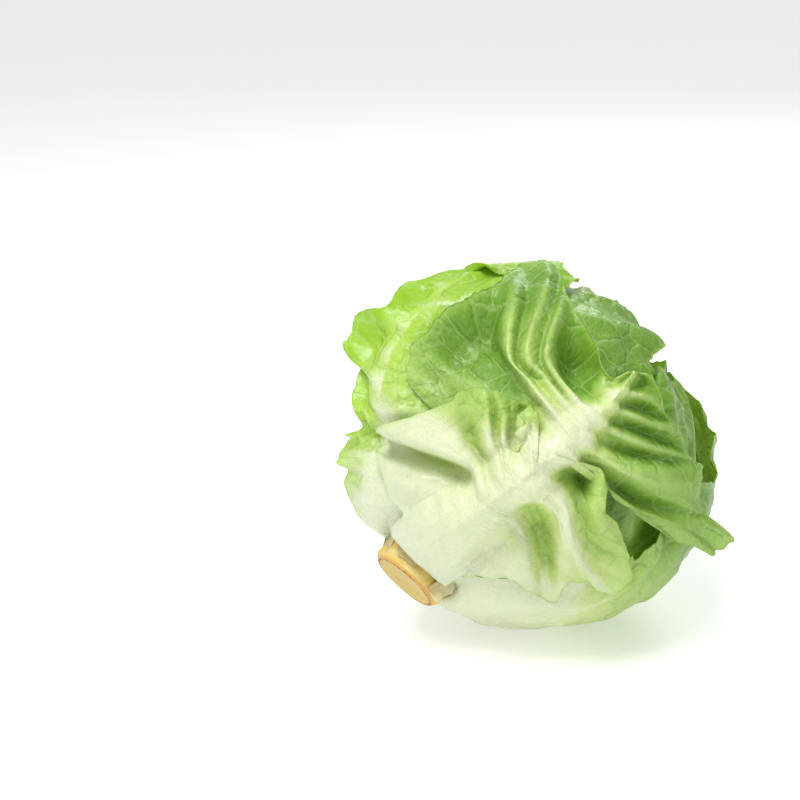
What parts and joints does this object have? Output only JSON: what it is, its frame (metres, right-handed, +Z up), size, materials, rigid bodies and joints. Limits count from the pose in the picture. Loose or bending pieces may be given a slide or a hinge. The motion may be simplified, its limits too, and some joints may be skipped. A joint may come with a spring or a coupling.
{
  "type": "butterhead lettuce",
  "caption": "Round butterhead lettuce head with a cut stem, crumpled outer leaves wrapped over a pale heart, lying on its side.",
  "frame": {"origin": "middle of the bounding box, on the surface that the head lies on", "axes": "+Z up; the head's own axis runs from the cut stem, low at -X -Y, up to the crown, high at +X +Y"},
  "size_m": [0.165, 0.1654, 0.1674],
  "materials": {
    "stem": "cut stem, drying",
    "heart": "pale young leaves",
    "leaf_01": "fresh leaf, waxy satin",
    "leaf_02": "fresh leaf, waxy satin",
    "leaf_03": "fresh leaf, waxy satin",
    "leaf_04": "fresh leaf, waxy satin",
    "leaf_05": "fresh leaf, waxy satin",
    "leaf_06": "fresh leaf, waxy satin",
    "leaf_07": "fresh leaf, waxy satin",
    "leaf_08": "fresh leaf, waxy satin",
    "leaf_09": "fresh leaf, waxy satin",
    "leaf_10": "fresh leaf, waxy satin",
    "leaf_11": "fresh leaf, waxy satin"
  },
  "bodies": {
    "root": {"stem": "stem", "heart": "heart", "leaf_01": "leaf_01", "leaf_02": "leaf_02", "leaf_03": "leaf_03", "leaf_04": "leaf_04", "leaf_05": "leaf_05", "leaf_06": "leaf_06", "leaf_07": "leaf_07", "leaf_08": "leaf_08", "leaf_09": "leaf_09", "leaf_10": "leaf_10", "leaf_11": "leaf_11"}
  },
  "joints": []
}
